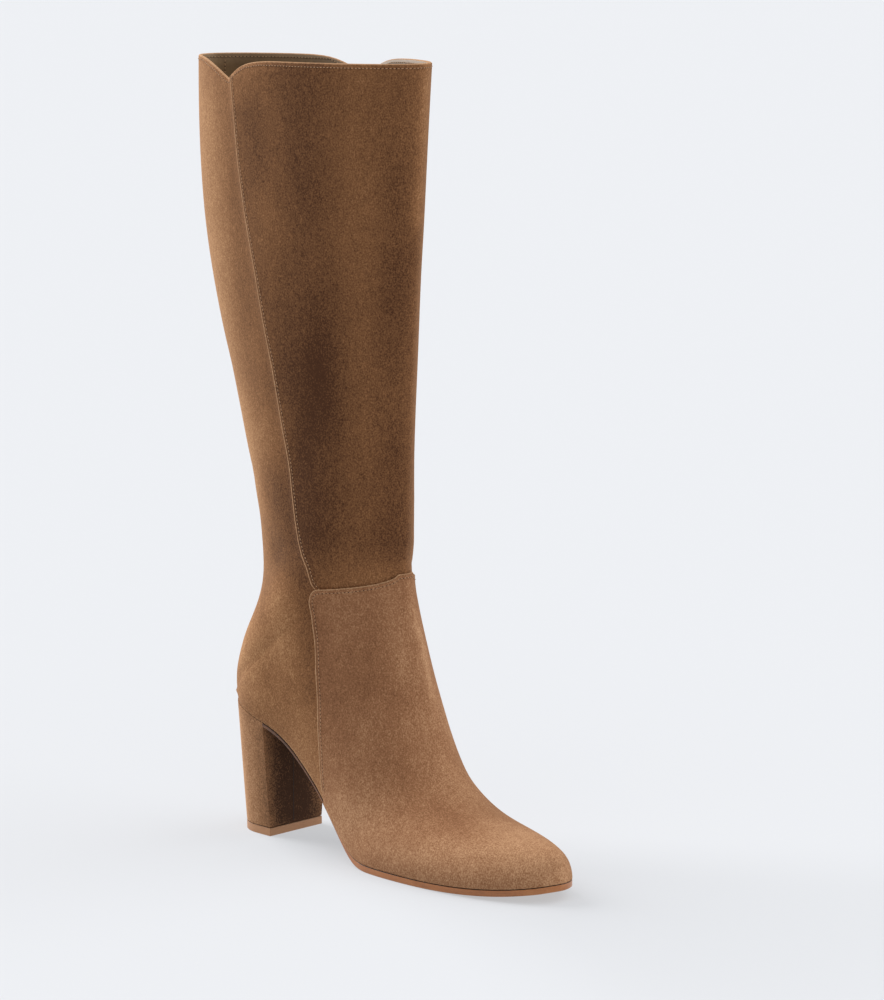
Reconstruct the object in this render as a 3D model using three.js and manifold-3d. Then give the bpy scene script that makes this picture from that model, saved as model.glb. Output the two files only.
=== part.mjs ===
// A right knee-high boot in suede on a covered block heel, in millimetres.
// +X points to the toe, +Y to the wearer's left (the medial side) and +Z up.
// The origin is the centre of the top lift's floor face.
import * as THREE from 'three';
import { mergeVertices } from 'three/addons/utils/BufferGeometryUtils.js';
import Module from 'manifold-3d';

const wasm = await Module();
wasm.setup();

// Foot sizes
const bootLength = 243.5;
const ballWidth = 71.5;
const seatHeight = 76.2;
const seatFall = 10.2;
const instepRise = 89.6;
const toeSpring = 6.5;
const toeDepth = 24.5;
const throatSetback = 126.2;
const ridgeLean = 11;

// Leg sizes, across the empty shaft
const collarHeight = 432;
const collarFall = 1.6;
const ankleInset = 22;
const ankleWidth = 54;
const calfReach = 51;
const calfWidth = 68;
const shinLean = 23.6;

// Heel sizes
const liftLength = 31.5;
const liftWidth = 39.5;
const liftThickness = 4.6;
const heelOverhang = 7;
const seatInset = 2.6;
const seatRound = 25.5;

// Material thicknesses and clearances
const upperWall = 1.8;
const vampThickness = 1.1;
const outsoleThickness = 3.6;
const waistThickness = 1.9;
const outsoleEdge = 1.3;
const waistEdge = 0.4;
const waistOnset = 0.25;
const insoleThickness = 2.6;
const insoleSetIn = 1.9;
const panelLap = 0.9;
const clearance = 0.3;

// Collar notches over the two side seams
const notchDepth = 11;
const notchFrontReach = 34;
const notchBackReach = 29;
const notchFrontPower = 2.8;
const notchBackPower = 1.2;

// Outline of the vamp panel, seen from the side: its top edge rises from the back corner to the peak
const vampPeakHeight = 156.2;
const vampSideHeight = 150.4;
const vampCornerHeight = 147.3;
const vampCornerRadius = 9;
const vampCornerSet = 77.5;
const vampFootSet = 90;
const vampMedialShift = 17;
const vampBackBulge = 5.5;
const vampShellClimb = 0.2;

const heelBackX = -liftLength / 2 - heelOverhang;
const breastX = liftLength / 2;
const tipX = heelBackX + bootLength;
const throatX = tipX - throatSetback;
const soleTop = outsoleThickness + clearance;
const breastHeight = seatHeight - seatFall;
const throatHeight = seatHeight + instepRise;
const seatEndX = heelBackX + seatInset;
const seatArcX = seatEndX + seatRound;

// The underside of the upper. along is a share of the way from the breast (0) to the toe tip (1),
// rise of the climb to the breast, spring of the toe spring, lateral and medial of the ball width.
const soleRows = [
  { along: 0, rise: 1, spring: 0, lateral: 0.35, medial: 0.347 },
  { along: 0.03, rise: 0.969, spring: 0, lateral: 0.343, medial: 0.33 },
  { along: 0.098, rise: 0.864, spring: 0, lateral: 0.332, medial: 0.303 },
  { along: 0.196, rise: 0.578, spring: 0, lateral: 0.337, medial: 0.315 },
  { along: 0.295, rise: 0.239, spring: 0, lateral: 0.373, medial: 0.37 },
  { along: 0.388, rise: 0.016, spring: 0, lateral: 0.427, medial: 0.445 },
  { along: 0.43, rise: 0, spring: 0, lateral: 0.458, medial: 0.475 },
  { along: 0.52, rise: 0, spring: 0, lateral: 0.483, medial: 0.5 },
  { along: 0.658, rise: 0, spring: 0, lateral: 0.466, medial: 0.463 },
  { along: 0.755, rise: 0, spring: 0.1, lateral: 0.437, medial: 0.4 },
  { along: 0.838, rise: 0, spring: 0.26, lateral: 0.377, medial: 0.335 },
  { along: 0.907, rise: 0, spring: 0.49, lateral: 0.297, medial: 0.27 },
  { along: 0.959, rise: 0, spring: 0.74, lateral: 0.201, medial: 0.19 },
  { along: 0.975, rise: 0, spring: 0.84, lateral: 0.158, medial: 0.152 },
  { along: 0.988, rise: 0, spring: 0.92, lateral: 0.105, medial: 0.103 },
  { along: 0.997, rise: 0, spring: 0.98, lateral: 0.053, medial: 0.053 },
  { along: 1, rise: 0, spring: 1, lateral: 0, medial: 0 },
];

// The sections of the foot, from the toe tip back over the seat.
// base is where a section stands: a share of the way from the breast (0) to the toe tip (1), or
// below 0 a share of the way from the breast to the back end of the seat (-1).
// ridge is its top line, a share of the way from the throat to the toe tip, toe a share of the toe
// depth and climb of the climb to the throat. lateral and medial are the widest halves as shares of
// the ball width, lean a share of the ridge's lean, keen the keenness of the ridge and full the
// fullness of the sides, where 1 is an ellipse and less is fuller.
const footRows = [
  { base: 1, ridge: 0.973, toe: 0.65, climb: 0, lateral: 0, medial: 0, lean: 0.1, keen: 1, full: 1 },
  { base: 0.997, ridge: 0.967, toe: 0.69, climb: 0, lateral: 0.056, medial: 0.055, lean: 0.1, keen: 1, full: 1 },
  { base: 0.988, ridge: 0.95, toe: 0.76, climb: 0, lateral: 0.109, medial: 0.106, lean: 0.12, keen: 0.98, full: 1 },
  { base: 0.975, ridge: 0.925, toe: 0.82, climb: 0, lateral: 0.163, medial: 0.156, lean: 0.13, keen: 0.97, full: 1 },
  { base: 0.959, ridge: 0.897, toe: 0.87, climb: 0, lateral: 0.207, medial: 0.197, lean: 0.15, keen: 0.95, full: 1 },
  { base: 0.906, ridge: 0.81, toe: 0.968, climb: 0, lateral: 0.308, medial: 0.28, lean: 0.2, keen: 0.93, full: 1 },
  { base: 0.836, ridge: 0.707, toe: 1, climb: 0.008, lateral: 0.393, medial: 0.35, lean: 0.3, keen: 0.96, full: 1 },
  { base: 0.753, ridge: 0.595, toe: 1, climb: 0.021, lateral: 0.456, medial: 0.41, lean: 0.4, keen: 1, full: 1 },
  { base: 0.659, ridge: 0.475, toe: 1, climb: 0.038, lateral: 0.497, medial: 0.465, lean: 0.52, keen: 1.04, full: 1 },
  { base: 0.565, ridge: 0.363, toe: 1, climb: 0.077, lateral: 0.512, medial: 0.5, lean: 0.66, keen: 1.1, full: 1 },
  { base: 0.471, ridge: 0.27, toe: 1, climb: 0.143, lateral: 0.503, medial: 0.503, lean: 0.82, keen: 1.14, full: 1 },
  { base: 0.424, ridge: 0.228, toe: 1, climb: 0.197, lateral: 0.488, medial: 0.495, lean: 0.88, keen: 1.16, full: 1 },
  { base: 0.377, ridge: 0.19, toe: 1, climb: 0.262, lateral: 0.465, medial: 0.48, lean: 0.93, keen: 1.17, full: 1 },
  { base: 0.33, ridge: 0.156, toe: 1, climb: 0.337, lateral: 0.45, medial: 0.453, lean: 0.97, keen: 1.18, full: 1 },
  { base: 0.283, ridge: 0.125, toe: 1, climb: 0.424, lateral: 0.438, medial: 0.431, lean: 1, keen: 1.18, full: 0.99 },
  { base: 0.236, ridge: 0.098, toe: 1, climb: 0.5, lateral: 0.428, medial: 0.417, lean: 1, keen: 1.19, full: 0.97 },
  { base: 0.189, ridge: 0.075, toe: 1, climb: 0.577, lateral: 0.424, medial: 0.408, lean: 0.98, keen: 1.2, full: 0.95 },
  { base: 0.095, ridge: 0.037, toe: 1, climb: 0.72, lateral: 0.423, medial: 0.409, lean: 0.94, keen: 1.22, full: 0.9 },
  { base: 0.03, ridge: 0.016, toe: 1, climb: 0.817, lateral: 0.428, medial: 0.417, lean: 0.88, keen: 1.24, full: 0.84 },
  { base: 0, ridge: 0.01, toe: 1, climb: 0.852, lateral: 0.43, medial: 0.422, lean: 0.86, keen: 1.24, full: 0.82 },
  { base: -0.32, ridge: 0.003, toe: 1, climb: 0.905, lateral: 0.434, medial: 0.429, lean: 0.82, keen: 1.25, full: 0.72 },
  { base: -0.6, ridge: 0.001, toe: 1, climb: 0.95, lateral: 0.437, medial: 0.434, lean: 0.8, keen: 1.25, full: 0.64 },
  { base: -0.85, ridge: 0, toe: 1, climb: 0.978, lateral: 0.439, medial: 0.437, lean: 0.79, keen: 1.25, full: 0.58 },
  { base: -0.966, ridge: 0, toe: 1, climb: 0.992, lateral: 0.44, medial: 0.438, lean: 0.78, keen: 1.25, full: 0.56 },
];

// The rings of the counter and the leg, from the end of the seat to the collar.
// climb is a share of the leg, from the seat at the back and from the throat at the front.
// heel and calf say how far the back line stands behind the ankle's, as shares of the ankle inset
// and the calf reach, front is a share of the shin's lean, width of the ankle's and widen of what
// the calf adds to it, lean a share of the ridge's lean, keen the keenness of the front ridge and
// full the fullness of the back, where 1 is an ellipse and less is fuller.
const legRows = [
  { climb: 0, heel: 0.83, calf: 0, front: 0, width: 1.168, widen: 0, lean: 0.78, keen: 1.25, full: 0.56 },
  { climb: 0.019, heel: 0.87, calf: 0, front: 0.02, width: 1.182, widen: 0, lean: 0.76, keen: 1.25, full: 0.58 },
  { climb: 0.05, heel: 0.84, calf: 0, front: 0.05, width: 1.178, widen: 0, lean: 0.74, keen: 1.25, full: 0.64 },
  { climb: 0.09, heel: 0.58, calf: 0, front: 0.075, width: 1.142, widen: 0, lean: 0.7, keen: 1.25, full: 0.74 },
  { climb: 0.131, heel: 0.25, calf: 0, front: 0.1, width: 1.09, widen: 0, lean: 0.68, keen: 1.25, full: 0.86 },
  { climb: 0.171, heel: 0.03, calf: 0.005, front: 0.13, width: 1.042, widen: 0, lean: 0.65, keen: 1.25, full: 0.95 },
  { climb: 0.211, heel: 0, calf: 0.03, front: 0.17, width: 1.01, widen: 0, lean: 0.6, keen: 1.25, full: 1 },
  { climb: 0.262, heel: 0, calf: 0.07, front: 0.22, width: 1, widen: 0.03, lean: 0.55, keen: 1.25, full: 1 },
  { climb: 0.323, heel: 0, calf: 0.143, front: 0.29, width: 1, widen: 0.13, lean: 0.48, keen: 1.25, full: 1 },
  { climb: 0.393, heel: 0, calf: 0.283, front: 0.38, width: 1, widen: 0.3, lean: 0.39, keen: 1.24, full: 1 },
  { climb: 0.474, heel: 0, calf: 0.425, front: 0.47, width: 1, widen: 0.5, lean: 0.29, keen: 1.22, full: 1 },
  { climb: 0.555, heel: 0, calf: 0.61, front: 0.56, width: 1, widen: 0.7, lean: 0.19, keen: 1.2, full: 1 },
  { climb: 0.646, heel: 0, calf: 0.79, front: 0.67, width: 1, widen: 0.87, lean: 0.08, keen: 1.17, full: 1 },
  { climb: 0.737, heel: 0, calf: 0.925, front: 0.78, width: 1, widen: 0.96, lean: -0.02, keen: 1.13, full: 1 },
  { climb: 0.828, heel: 0, calf: 0.99, front: 0.87, width: 1, widen: 1, lean: -0.1, keen: 1.09, full: 1 },
  { climb: 0.919, heel: 0, calf: 1.01, front: 0.945, width: 1, widen: 1.05, lean: -0.14, keen: 1.05, full: 1 },
  { climb: 1, heel: 0, calf: 1, front: 1, width: 1, widen: 1.1, lean: -0.14, keen: 1.02, full: 1 },
];

// Where the two side seams cross each ring, as shares of its chord from the back.
// Below the ankle they run forward under the vamp panel.
const seamRows = [
  { climb: 0, lateral: 0.72, medial: 0.61 },
  { climb: 0.05, lateral: 0.645, medial: 0.585 },
  { climb: 0.09, lateral: 0.6, medial: 0.555 },
  { climb: 0.131, lateral: 0.53, medial: 0.518 },
  { climb: 0.171, lateral: 0.472, medial: 0.497 },
  { climb: 0.242, lateral: 0.43, medial: 0.5 },
  { climb: 0.343, lateral: 0.418, medial: 0.52 },
  { climb: 0.495, lateral: 0.413, medial: 0.552 },
  { climb: 0.646, lateral: 0.404, medial: 0.573 },
  { climb: 0.798, lateral: 0.364, medial: 0.574 },
  { climb: 1, lateral: 0.321, medial: 0.556 },
];

// Column places from the base to a seam and from the seam to the ridge, as shares of each. toeSeam is
// the place where the seam's column ends at the toe tip, and seamHalfStep half the width of its step.
const backColumns = [0, 0.1, 0.24, 0.42, 0.62, 0.8, 0.93, 1];
const frontColumns = [0, 0.03, 0.08, 0.16, 0.27, 0.4, 0.54, 0.68, 0.8, 0.89, 0.955, 1];
const toeSeam = 0.6;
const seamHalfStep = 0.6;

// The widest share of a section that the underside's opening takes
const soleOpening = 0.965;

// The heel: the share of its outline that is round, and the steps along and down it
const heelArcShare = 0.75;
const heelTurns = 12;
const heelLevels = [0, 0.15, 0.35, 0.6, 0.8, 1];
const slabColumns = [0, 0.25, 0.5, 0.75, 1];

// A smooth curve through one column of a table, with no overshoot between rows
function curve(rows, key, column, at) {
  let i = 0;
  while (i < rows.length - 2 && at > rows[i + 1][key]) i += 1;
  const slope = (k) => (rows[k + 1][column] - rows[k][column]) / (rows[k + 1][key] - rows[k][key]);
  const tangent = (k) => {
    if (k === 0) return slope(0);
    if (k === rows.length - 1) return slope(k - 1);
    const before = slope(k - 1);
    const after = slope(k);
    return before * after <= 0 ? 0 : 2 * before * after / (before + after);
  };
  const span = rows[i + 1][key] - rows[i][key];
  const t = THREE.MathUtils.clamp((at - rows[i][key]) / span, 0, 1);
  const start = rows[i][column] * (2 * t ** 3 - 3 * t ** 2 + 1) + tangent(i) * span * (t ** 3 - 2 * t ** 2 + t);
  return start + rows[i + 1][column] * (3 * t ** 2 - 2 * t ** 3) + tangent(i + 1) * span * (t ** 3 - t ** 2);
}

// Share of the way from the breast to the toe tip
function alongSole(x) {
  return (x - breastX) / (tipX - breastX);
}

// The place of a section's base along the boot
function baseX(base) {
  return base < 0 ? breastX + base * (breastX - seatEndX) : breastX + base * (tipX - breastX);
}

// Height of the upper's underside at a place along the boot
function soleHeight(x) {
  if (x < breastX) return breastHeight + seatFall * (breastX - x) / (breastX - seatEndX);
  const rise = curve(soleRows, 'along', 'rise', alongSole(x));
  const spring = curve(soleRows, 'along', 'spring', alongSole(x));
  return soleTop + rise * (breastHeight - soleTop) + spring * toeSpring;
}

// Half the underside's width on one side, rounded off behind the seat's arc
function soleHalf(x, side) {
  const half = curve(soleRows, 'along', side, Math.max(0, alongSole(x))) * ballWidth;
  if (x >= seatArcX) return half;
  const round = Math.min(1, (seatArcX - x) / seatRound);
  return half * Math.sqrt(1 - round ** 2);
}

// The place of a side seam on a ring, from 0 at the base to 1 at the ridge
function seamPlace(side, climb) {
  return Math.acos(1 - 2 * curve(seamRows, 'climb', side, climb)) / Math.PI;
}

// The place on a foot section that runs on from the side seam, shared by both sides at the toe tip
function footSeam(side, base) {
  return THREE.MathUtils.lerp(seamPlace(side, 0), toeSeam, Math.max(0, base));
}

// One section of the upper: its base and ridge points, its widest halves and its opening angles
function footSection(row) {
  const x = baseX(row.base);
  const climbFrom = soleTop + toeDepth;
  const widest = { lateral: row.lateral * ballWidth, medial: row.medial * ballWidth };
  const opening = {};
  for (const side of ['lateral', 'medial']) {
    const ratio = widest[side] > 0 ? soleHalf(x, side) / widest[side] : soleOpening;
    opening[side] = Math.asin(Math.min(soleOpening, ratio ** (1 / row.full)));
  }
  return {
    base: new THREE.Vector3(x, 0, soleHeight(x)),
    ridge: new THREE.Vector3(
      throatX + row.ridge * throatSetback,
      row.lean * ridgeLean,
      soleTop + row.toe * toeDepth + row.climb * (throatHeight - climbFrom),
    ),
    widest,
    opening,
    keen: row.keen,
    full: row.full,
    seam: { lateral: footSeam('lateral', row.base), medial: footSeam('medial', row.base) },
    climb: -1,
  };
}

// One ring of the leg, closed at the back
function legSection(row) {
  const backX = heelBackX + ankleInset * (1 - row.heel) - calfReach * row.calf;
  const half = (ankleWidth * row.width + (calfWidth - ankleWidth) * row.widen) / 2;
  return {
    base: new THREE.Vector3(backX, 0, seatHeight + row.climb * (collarHeight - collarFall - seatHeight)),
    ridge: new THREE.Vector3(
      throatX + shinLean * row.front,
      row.lean * ridgeLean,
      throatHeight + row.climb * (collarHeight - throatHeight),
    ),
    widest: { lateral: half, medial: half },
    opening: { lateral: 0, medial: 0 },
    keen: row.keen,
    full: row.full,
    seam: { lateral: seamPlace('lateral', row.climb), medial: seamPlace('medial', row.climb) },
    climb: row.climb,
  };
}

const footSections = footRows.map(footSection);
const sections = [...footSections, ...legRows.map(legSection)];
const seatEndRow = footSections.length;
const halfColumns = backColumns.length + frontColumns.length - 1;

// The place of a column along one side of a section, from 0 at the base to 1 at the ridge
function columnPlace(section, side, column) {
  const reach = Math.PI * section.widest[side];
  const half = Math.min(0.5 / halfColumns, seamHalfStep / reach);
  const seam = section.seam[side];
  if (column < backColumns.length) return (seam - half) * backColumns[column];
  return seam + half + (1 - seam - half) * frontColumns[column - backColumns.length];
}

// A point of a section on one side
function sectionPoint(section, side, place) {
  const open = section.opening[side];
  const angle = open + (Math.PI - open) * place;
  const share = (Math.cos(open) - Math.cos(angle)) / (Math.cos(open) + 1);
  const fullness = angle > Math.PI / 2 ? section.keen : section.full;
  const half = section.widest[side] * Math.max(0, Math.sin(angle)) ** fullness;
  const point = section.base.clone().lerp(section.ridge, share);
  point.y += side === 'lateral' ? -half : half;
  return point;
}

// How far the rim drops at a distance ahead of (or behind) a seam
function notchDrop(ahead) {
  const reach = ahead > 0 ? notchFrontReach : notchBackReach;
  const power = ahead > 0 ? notchFrontPower : notchBackPower;
  return notchDepth * Math.max(0, 1 - Math.abs(ahead) / reach) ** power;
}

// The upper's outer form as rows of points, lateral base over the ridge to medial base
function formGrid() {
  const grid = sections.map((section) => {
    const lateral = [];
    const medial = [];
    for (let column = 0; column <= halfColumns; column += 1) {
      lateral.push(sectionPoint(section, 'lateral', columnPlace(section, 'lateral', column)));
      medial.push(sectionPoint(section, 'medial', columnPlace(section, 'medial', column)));
    }
    return [...lateral, ...medial.slice(0, -1).reverse()];
  });
  const rim = grid[grid.length - 1];
  for (const side of [1, -1]) {
    const column = (k) => (side > 0 ? k : rim.length - 1 - k);
    const seamX = rim[column(backColumns.length - 1)].x;
    for (let k = 0; k <= halfColumns; k += 1) {
      const point = rim[column(k)];
      point.z -= notchDrop(point.x - seamX);
    }
  }
  return grid;
}

const form = formGrid();
const lastColumn = form[0].length - 1;
const formNormals = form.map((row, i) => row.map((_, j) => formNormal(i, j)));

// The outward normal of the form, shared by the two sides where they meet at the toe tip and back
function formNormal(i, j) {
  const shared = i === 0 || (i >= seatEndRow && j % lastColumn === 0);
  if (!shared) return gridNormal(i, j).normalize();
  const both = gridNormal(i, j).normalize().add(gridNormal(i, lastColumn - j).normalize());
  both.y = 0;
  return both.length() > 0 ? both.normalize() : formNormal(i + 1, j);
}

// The cross product of the grid's two directions at a point
function gridNormal(i, j) {
  const closed = i >= seatEndRow;
  const left = j > 0 ? j - 1 : closed ? lastColumn - 1 : 0;
  const right = j < lastColumn ? j + 1 : closed ? 1 : lastColumn;
  const down = form[Math.max(0, i - 1)][j];
  const up = form[Math.min(form.length - 1, i + 1)][j];
  const across = form[i][right].clone().sub(form[i][left]);
  const along = up.clone().sub(down);
  return across.cross(along);
}

// The form moved out by a distance, with the front panel's lap over the side seams where asked.
// Its lower edge stays on the underside's surface.
function offsetGrid(distance, lap) {
  const front = (j) => Math.min(j, lastColumn - j) >= backColumns.length;
  return form.map((row, i) => row.map((point, j) => {
    const raised = lap && i > seatEndRow && front(j) ? panelLap : 0;
    const moved = point.clone().addScaledVector(formNormals[i][j], distance + raised);
    if (i <= seatEndRow && j % lastColumn === 0) moved.z = soleHeight(moved.x);
    return moved;
  }));
}

// Gathers quads into a closed body
class Skin {
  constructor() {
    this.positions = [];
  }

  triangle(a, b, c) {
    const flat = (p, q) => p.distanceToSquared(q) < 1e-8;
    if (flat(a, b) || flat(b, c) || flat(c, a)) return;
    for (const p of [a, b, c]) this.positions.push(p.x, p.y, p.z);
  }

  quad(a, b, c, d) {
    this.triangle(a, b, c);
    this.triangle(a, c, d);
  }

  // A strip between two lines of points
  strip(first, second) {
    for (let k = 0; k < first.length - 1; k += 1) this.quad(first[k], first[k + 1], second[k + 1], second[k]);
  }

  sheet(rows) {
    for (let i = 0; i < rows.length - 1; i += 1) this.strip(rows[i], rows[i + 1]);
  }

  // A sheet that faces the other way, split along the same diagonals
  lining(rows) {
    for (let i = 0; i < rows.length - 1; i += 1) {
      for (let k = 0; k < rows[i].length - 1; k += 1) {
        this.triangle(rows[i][k], rows[i + 1][k + 1], rows[i][k + 1]);
        this.triangle(rows[i][k], rows[i + 1][k], rows[i + 1][k + 1]);
      }
    }
  }

  geometry() {
    const geometry = new THREE.BufferGeometry();
    geometry.setAttribute('position', new THREE.Float32BufferAttribute(this.positions, 3));
    return outward(mergeVertices(geometry, 1e-4));
  }
}

// Turns a closed geometry's faces outwards
function outward(geometry) {
  const index = geometry.index.array;
  const at = (k) => new THREE.Vector3().fromBufferAttribute(geometry.attributes.position, index[k]);
  let volume = 0;
  for (let k = 0; k < index.length; k += 3) volume += at(k).dot(at(k + 1).cross(at(k + 2)));
  if (volume < 0) {
    for (let k = 0; k < index.length; k += 3) [index[k], index[k + 1]] = [index[k + 1], index[k]];
  }
  return geometry;
}

// A hollow shell between an outer and an inner grid, over the rows from the toe up to a last row
function shellGeometry(outer, inner, lastRow) {
  const skin = new Skin();
  skin.sheet(outer.slice(0, lastRow + 1));
  skin.lining(inner.slice(0, lastRow + 1));
  const foot = Math.min(seatEndRow, lastRow);
  const edge = (grid, j) => grid.slice(0, foot + 1).map((row) => row[j]);
  skin.strip(edge(outer, 0), edge(inner, 0));
  skin.strip(edge(inner, lastColumn), edge(outer, lastColumn));
  skin.strip(outer[lastRow], inner[lastRow]);
  return skin.geometry();
}

function toManifold(geometry) {
  const bare = new THREE.BufferGeometry();
  bare.setAttribute('position', geometry.attributes.position.clone());
  if (geometry.index) bare.setIndex(geometry.index.clone());
  const merged = mergeVertices(bare, 1e-4);
  const vertProperties = new Float32Array(merged.attributes.position.array);
  const triVerts = new Uint32Array(merged.index.array);
  return new wasm.Manifold(new wasm.Mesh({ numProp: 3, vertProperties, triVerts }));
}

function fromManifold(solid) {
  const mesh = solid.getMesh();
  const geometry = new THREE.BufferGeometry();
  geometry.setAttribute('position', new THREE.BufferAttribute(new Float32Array(mesh.vertProperties), 3));
  geometry.setIndex(new THREE.BufferAttribute(new Uint32Array(mesh.triVerts), 1));
  return geometry;
}

// The hollow upper, open at the collar and underneath
function upperGeometry() {
  return shellGeometry(offsetGrid(0, true), offsetGrid(-upperWall, false), form.length - 1);
}

// The side view of the vamp panel on one side, as a prism through that half of the foot.
// It reaches past the toe tip and the floor, where the upper's own form ends the panel.
function vampPrism(shift, fromY, toY) {
  const cornerX = heelBackX + vampCornerSet - shift;
  const footX = heelBackX + vampFootSet - shift / 2;
  const middleX = (cornerX + footX) / 2 + vampBackBulge;
  const aheadX = tipX + ballWidth;
  const belowZ = -ballWidth;
  const outline = new THREE.Shape();
  outline.moveTo(aheadX, belowZ);
  outline.lineTo(footX, belowZ);
  outline.lineTo(footX, 0);
  outline.quadraticCurveTo(middleX, vampCornerHeight / 2, cornerX, vampCornerHeight - vampCornerRadius);
  outline.quadraticCurveTo(cornerX, vampCornerHeight, cornerX + vampCornerRadius, vampCornerHeight);
  outline.quadraticCurveTo(throatX, vampSideHeight, throatX, vampPeakHeight);
  outline.lineTo(aheadX, vampPeakHeight);
  const depth = toY - fromY;
  const prism = new THREE.ExtrudeGeometry(outline, { depth, bevelEnabled: false, curveSegments: 8 });
  prism.rotateX(Math.PI / 2);
  prism.translate(0, toY, 0);
  return prism;
}

// The vamp, lapped over the shaft and back panels, a clearance off the upper's own form
function vampGeometry() {
  const inner = offsetGrid(clearance, true);
  const outer = offsetGrid(clearance + vampThickness, true);
  const lastRow = sections.findIndex((section) => section.climb > vampShellClimb);
  const shell = toManifold(shellGeometry(outer, inner, lastRow));
  const lateral = toManifold(vampPrism(0, -ballWidth, ridgeLean / 2));
  const medial = toManifold(vampPrism(vampMedialShift, ridgeLean / 2, ballWidth));
  return fromManifold(shell.intersect(lateral.add(medial)));
}

// The underside's outline moved out by a distance, as lateral and medial points row by row
function soleOutline(places, distanceAt) {
  const chain = [];
  for (const x of places) chain.push(new THREE.Vector2(x, -soleHalf(x, 'lateral')));
  for (const x of [...places].reverse()) chain.push(new THREE.Vector2(x, soleHalf(x, 'medial')));
  const clean = chain.filter((p, k) => k === 0 || p.distanceTo(chain[k - 1]) > 1e-6);
  const last = clean.length - 1;
  const closed = clean[0].distanceTo(clean[last]) < 1e-6;
  return clean.map((point, k) => {
    const before = k > 0 ? clean[k - 1] : clean[closed ? last - 1 : 0];
    const after = k < last ? clean[k + 1] : clean[closed ? 1 : last];
    const run = after.clone().sub(before).normalize();
    const distance = distanceAt(point.x);
    return new THREE.Vector2(point.x + run.y * distance, point.y - run.x * distance);
  });
}

// A slab under or in the foot, from an outline whose first half is lateral and second half medial
function slabGeometry(outline, topAt, bottomAt) {
  const skin = new Skin();
  const count = outline.length;
  const rows = Math.ceil(count / 2);
  const top = [];
  const bottom = [];
  for (let k = 0; k < rows; k += 1) {
    const lateral = outline[k];
    const medial = outline[count - 1 - k];
    const points = slabColumns.map((t) => lateral.clone().lerp(medial, t));
    top.push(points.map((p) => new THREE.Vector3(p.x, p.y, topAt(p.x))));
    bottom.push(points.map((p) => new THREE.Vector3(p.x, p.y, bottomAt(p.x))));
  }
  const last = slabColumns.length - 1;
  skin.sheet(top);
  skin.lining(bottom);
  skin.strip(top.map((row) => row[0]), bottom.map((row) => row[0]));
  skin.strip(bottom.map((row) => row[last]), top.map((row) => row[last]));
  skin.strip(bottom[0], top[0]);
  skin.strip(top[rows - 1], bottom[rows - 1]);
  return skin.geometry();
}

// The insole, a clearance inside the upper's wall
function insoleGeometry() {
  const places = [seatEndX, ...footRows.map((row) => baseX(row.base)).reverse()];
  const outline = soleOutline(places, () => -(upperWall + insoleSetIn));
  const bottomAt = (x) => soleHeight(x) + clearance;
  return slabGeometry(outline, (x) => bottomAt(x) + insoleThickness, bottomAt);
}

// The outsole, from the heel breast to the toe, thinner in the waist
function outsoleGeometry() {
  const places = footRows.filter((row) => row.base >= 0).map((row) => baseX(row.base)).reverse();
  const waistAt = (x) => Math.min(1, curve(soleRows, 'along', 'rise', alongSole(x)) / waistOnset);
  const edgeAt = (x) => THREE.MathUtils.lerp(outsoleEdge, waistEdge, waistAt(x));
  const thicknessAt = (x) => THREE.MathUtils.lerp(outsoleThickness, waistThickness, waistAt(x));
  const outline = soleOutline(places, edgeAt);
  for (const point of [outline[0], outline[outline.length - 1]]) point.x = breastX + clearance;
  return slabGeometry(outline, (x) => soleHeight(x) - clearance, (x) => soleHeight(x) - clearance - thicknessAt(x));
}

// The outline of the heel at a share of the way from the seat (0) to the lift (1)
function heelOutline(level) {
  const outline = [];
  const straight = liftLength - liftWidth / 2;
  const seatStraight = breastX - seatArcX;
  for (let k = -heelTurns; k <= heelTurns; k += 1) {
    const turn = Math.abs(k) / heelTurns;
    const flat = Math.max(0, turn - heelArcShare) / (1 - heelArcShare);
    const round = Math.min(1, turn / heelArcShare) * Math.PI / 2;
    const seatX = seatArcX - seatRound * Math.cos(round) + flat * seatStraight;
    const seatY = k < 0 ? -soleHalf(seatX, 'lateral') : soleHalf(seatX, 'medial');
    const liftX = breastX - straight - (liftWidth / 2) * Math.cos(round) + flat * straight;
    const liftY = Math.sign(k) * (liftWidth / 2) * Math.sin(round);
    outline.push(new THREE.Vector2(
      THREE.MathUtils.lerp(seatX, liftX, level),
      THREE.MathUtils.lerp(seatY, liftY, level),
    ));
  }
  return outline;
}

// The covered heel block under the seat, with a flat breast
function heelBlockGeometry() {
  const skin = new Skin();
  const foot = liftThickness + clearance;
  const rings = heelLevels.map((level) => heelOutline(level).map((p) => {
    const top = soleHeight(p.x) - clearance;
    return new THREE.Vector3(p.x, p.y, THREE.MathUtils.lerp(top, foot, level));
  }));
  skin.sheet(rings);
  const cap = (ring, flip) => {
    const half = (ring.length - 1) / 2;
    for (let k = 0; k < half; k += 1) {
      const quad = [ring[k], ring[k + 1], ring[ring.length - 2 - k], ring[ring.length - 1 - k]];
      skin.quad(...(flip ? quad.reverse() : quad));
    }
  };
  cap(rings[0], true);
  cap(rings[rings.length - 1], false);
  const first = rings.map((ring) => ring[0]);
  const last = rings.map((ring) => ring[ring.length - 1]);
  skin.strip(first, last);
  return skin.geometry();
}

// The top lift, the heel's floor piece
function topLiftGeometry() {
  const points = heelOutline(1);
  const outline = new THREE.Shape(points);
  return new THREE.ExtrudeGeometry(outline, { depth: liftThickness, bevelEnabled: false });
}

function part(name, geometry, color, roughness) {
  const material = new THREE.MeshStandardMaterial({ color, roughness, metalness: 0 });
  const mesh = new THREE.Mesh(geometry, material);
  mesh.name = name;
  return mesh;
}

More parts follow.
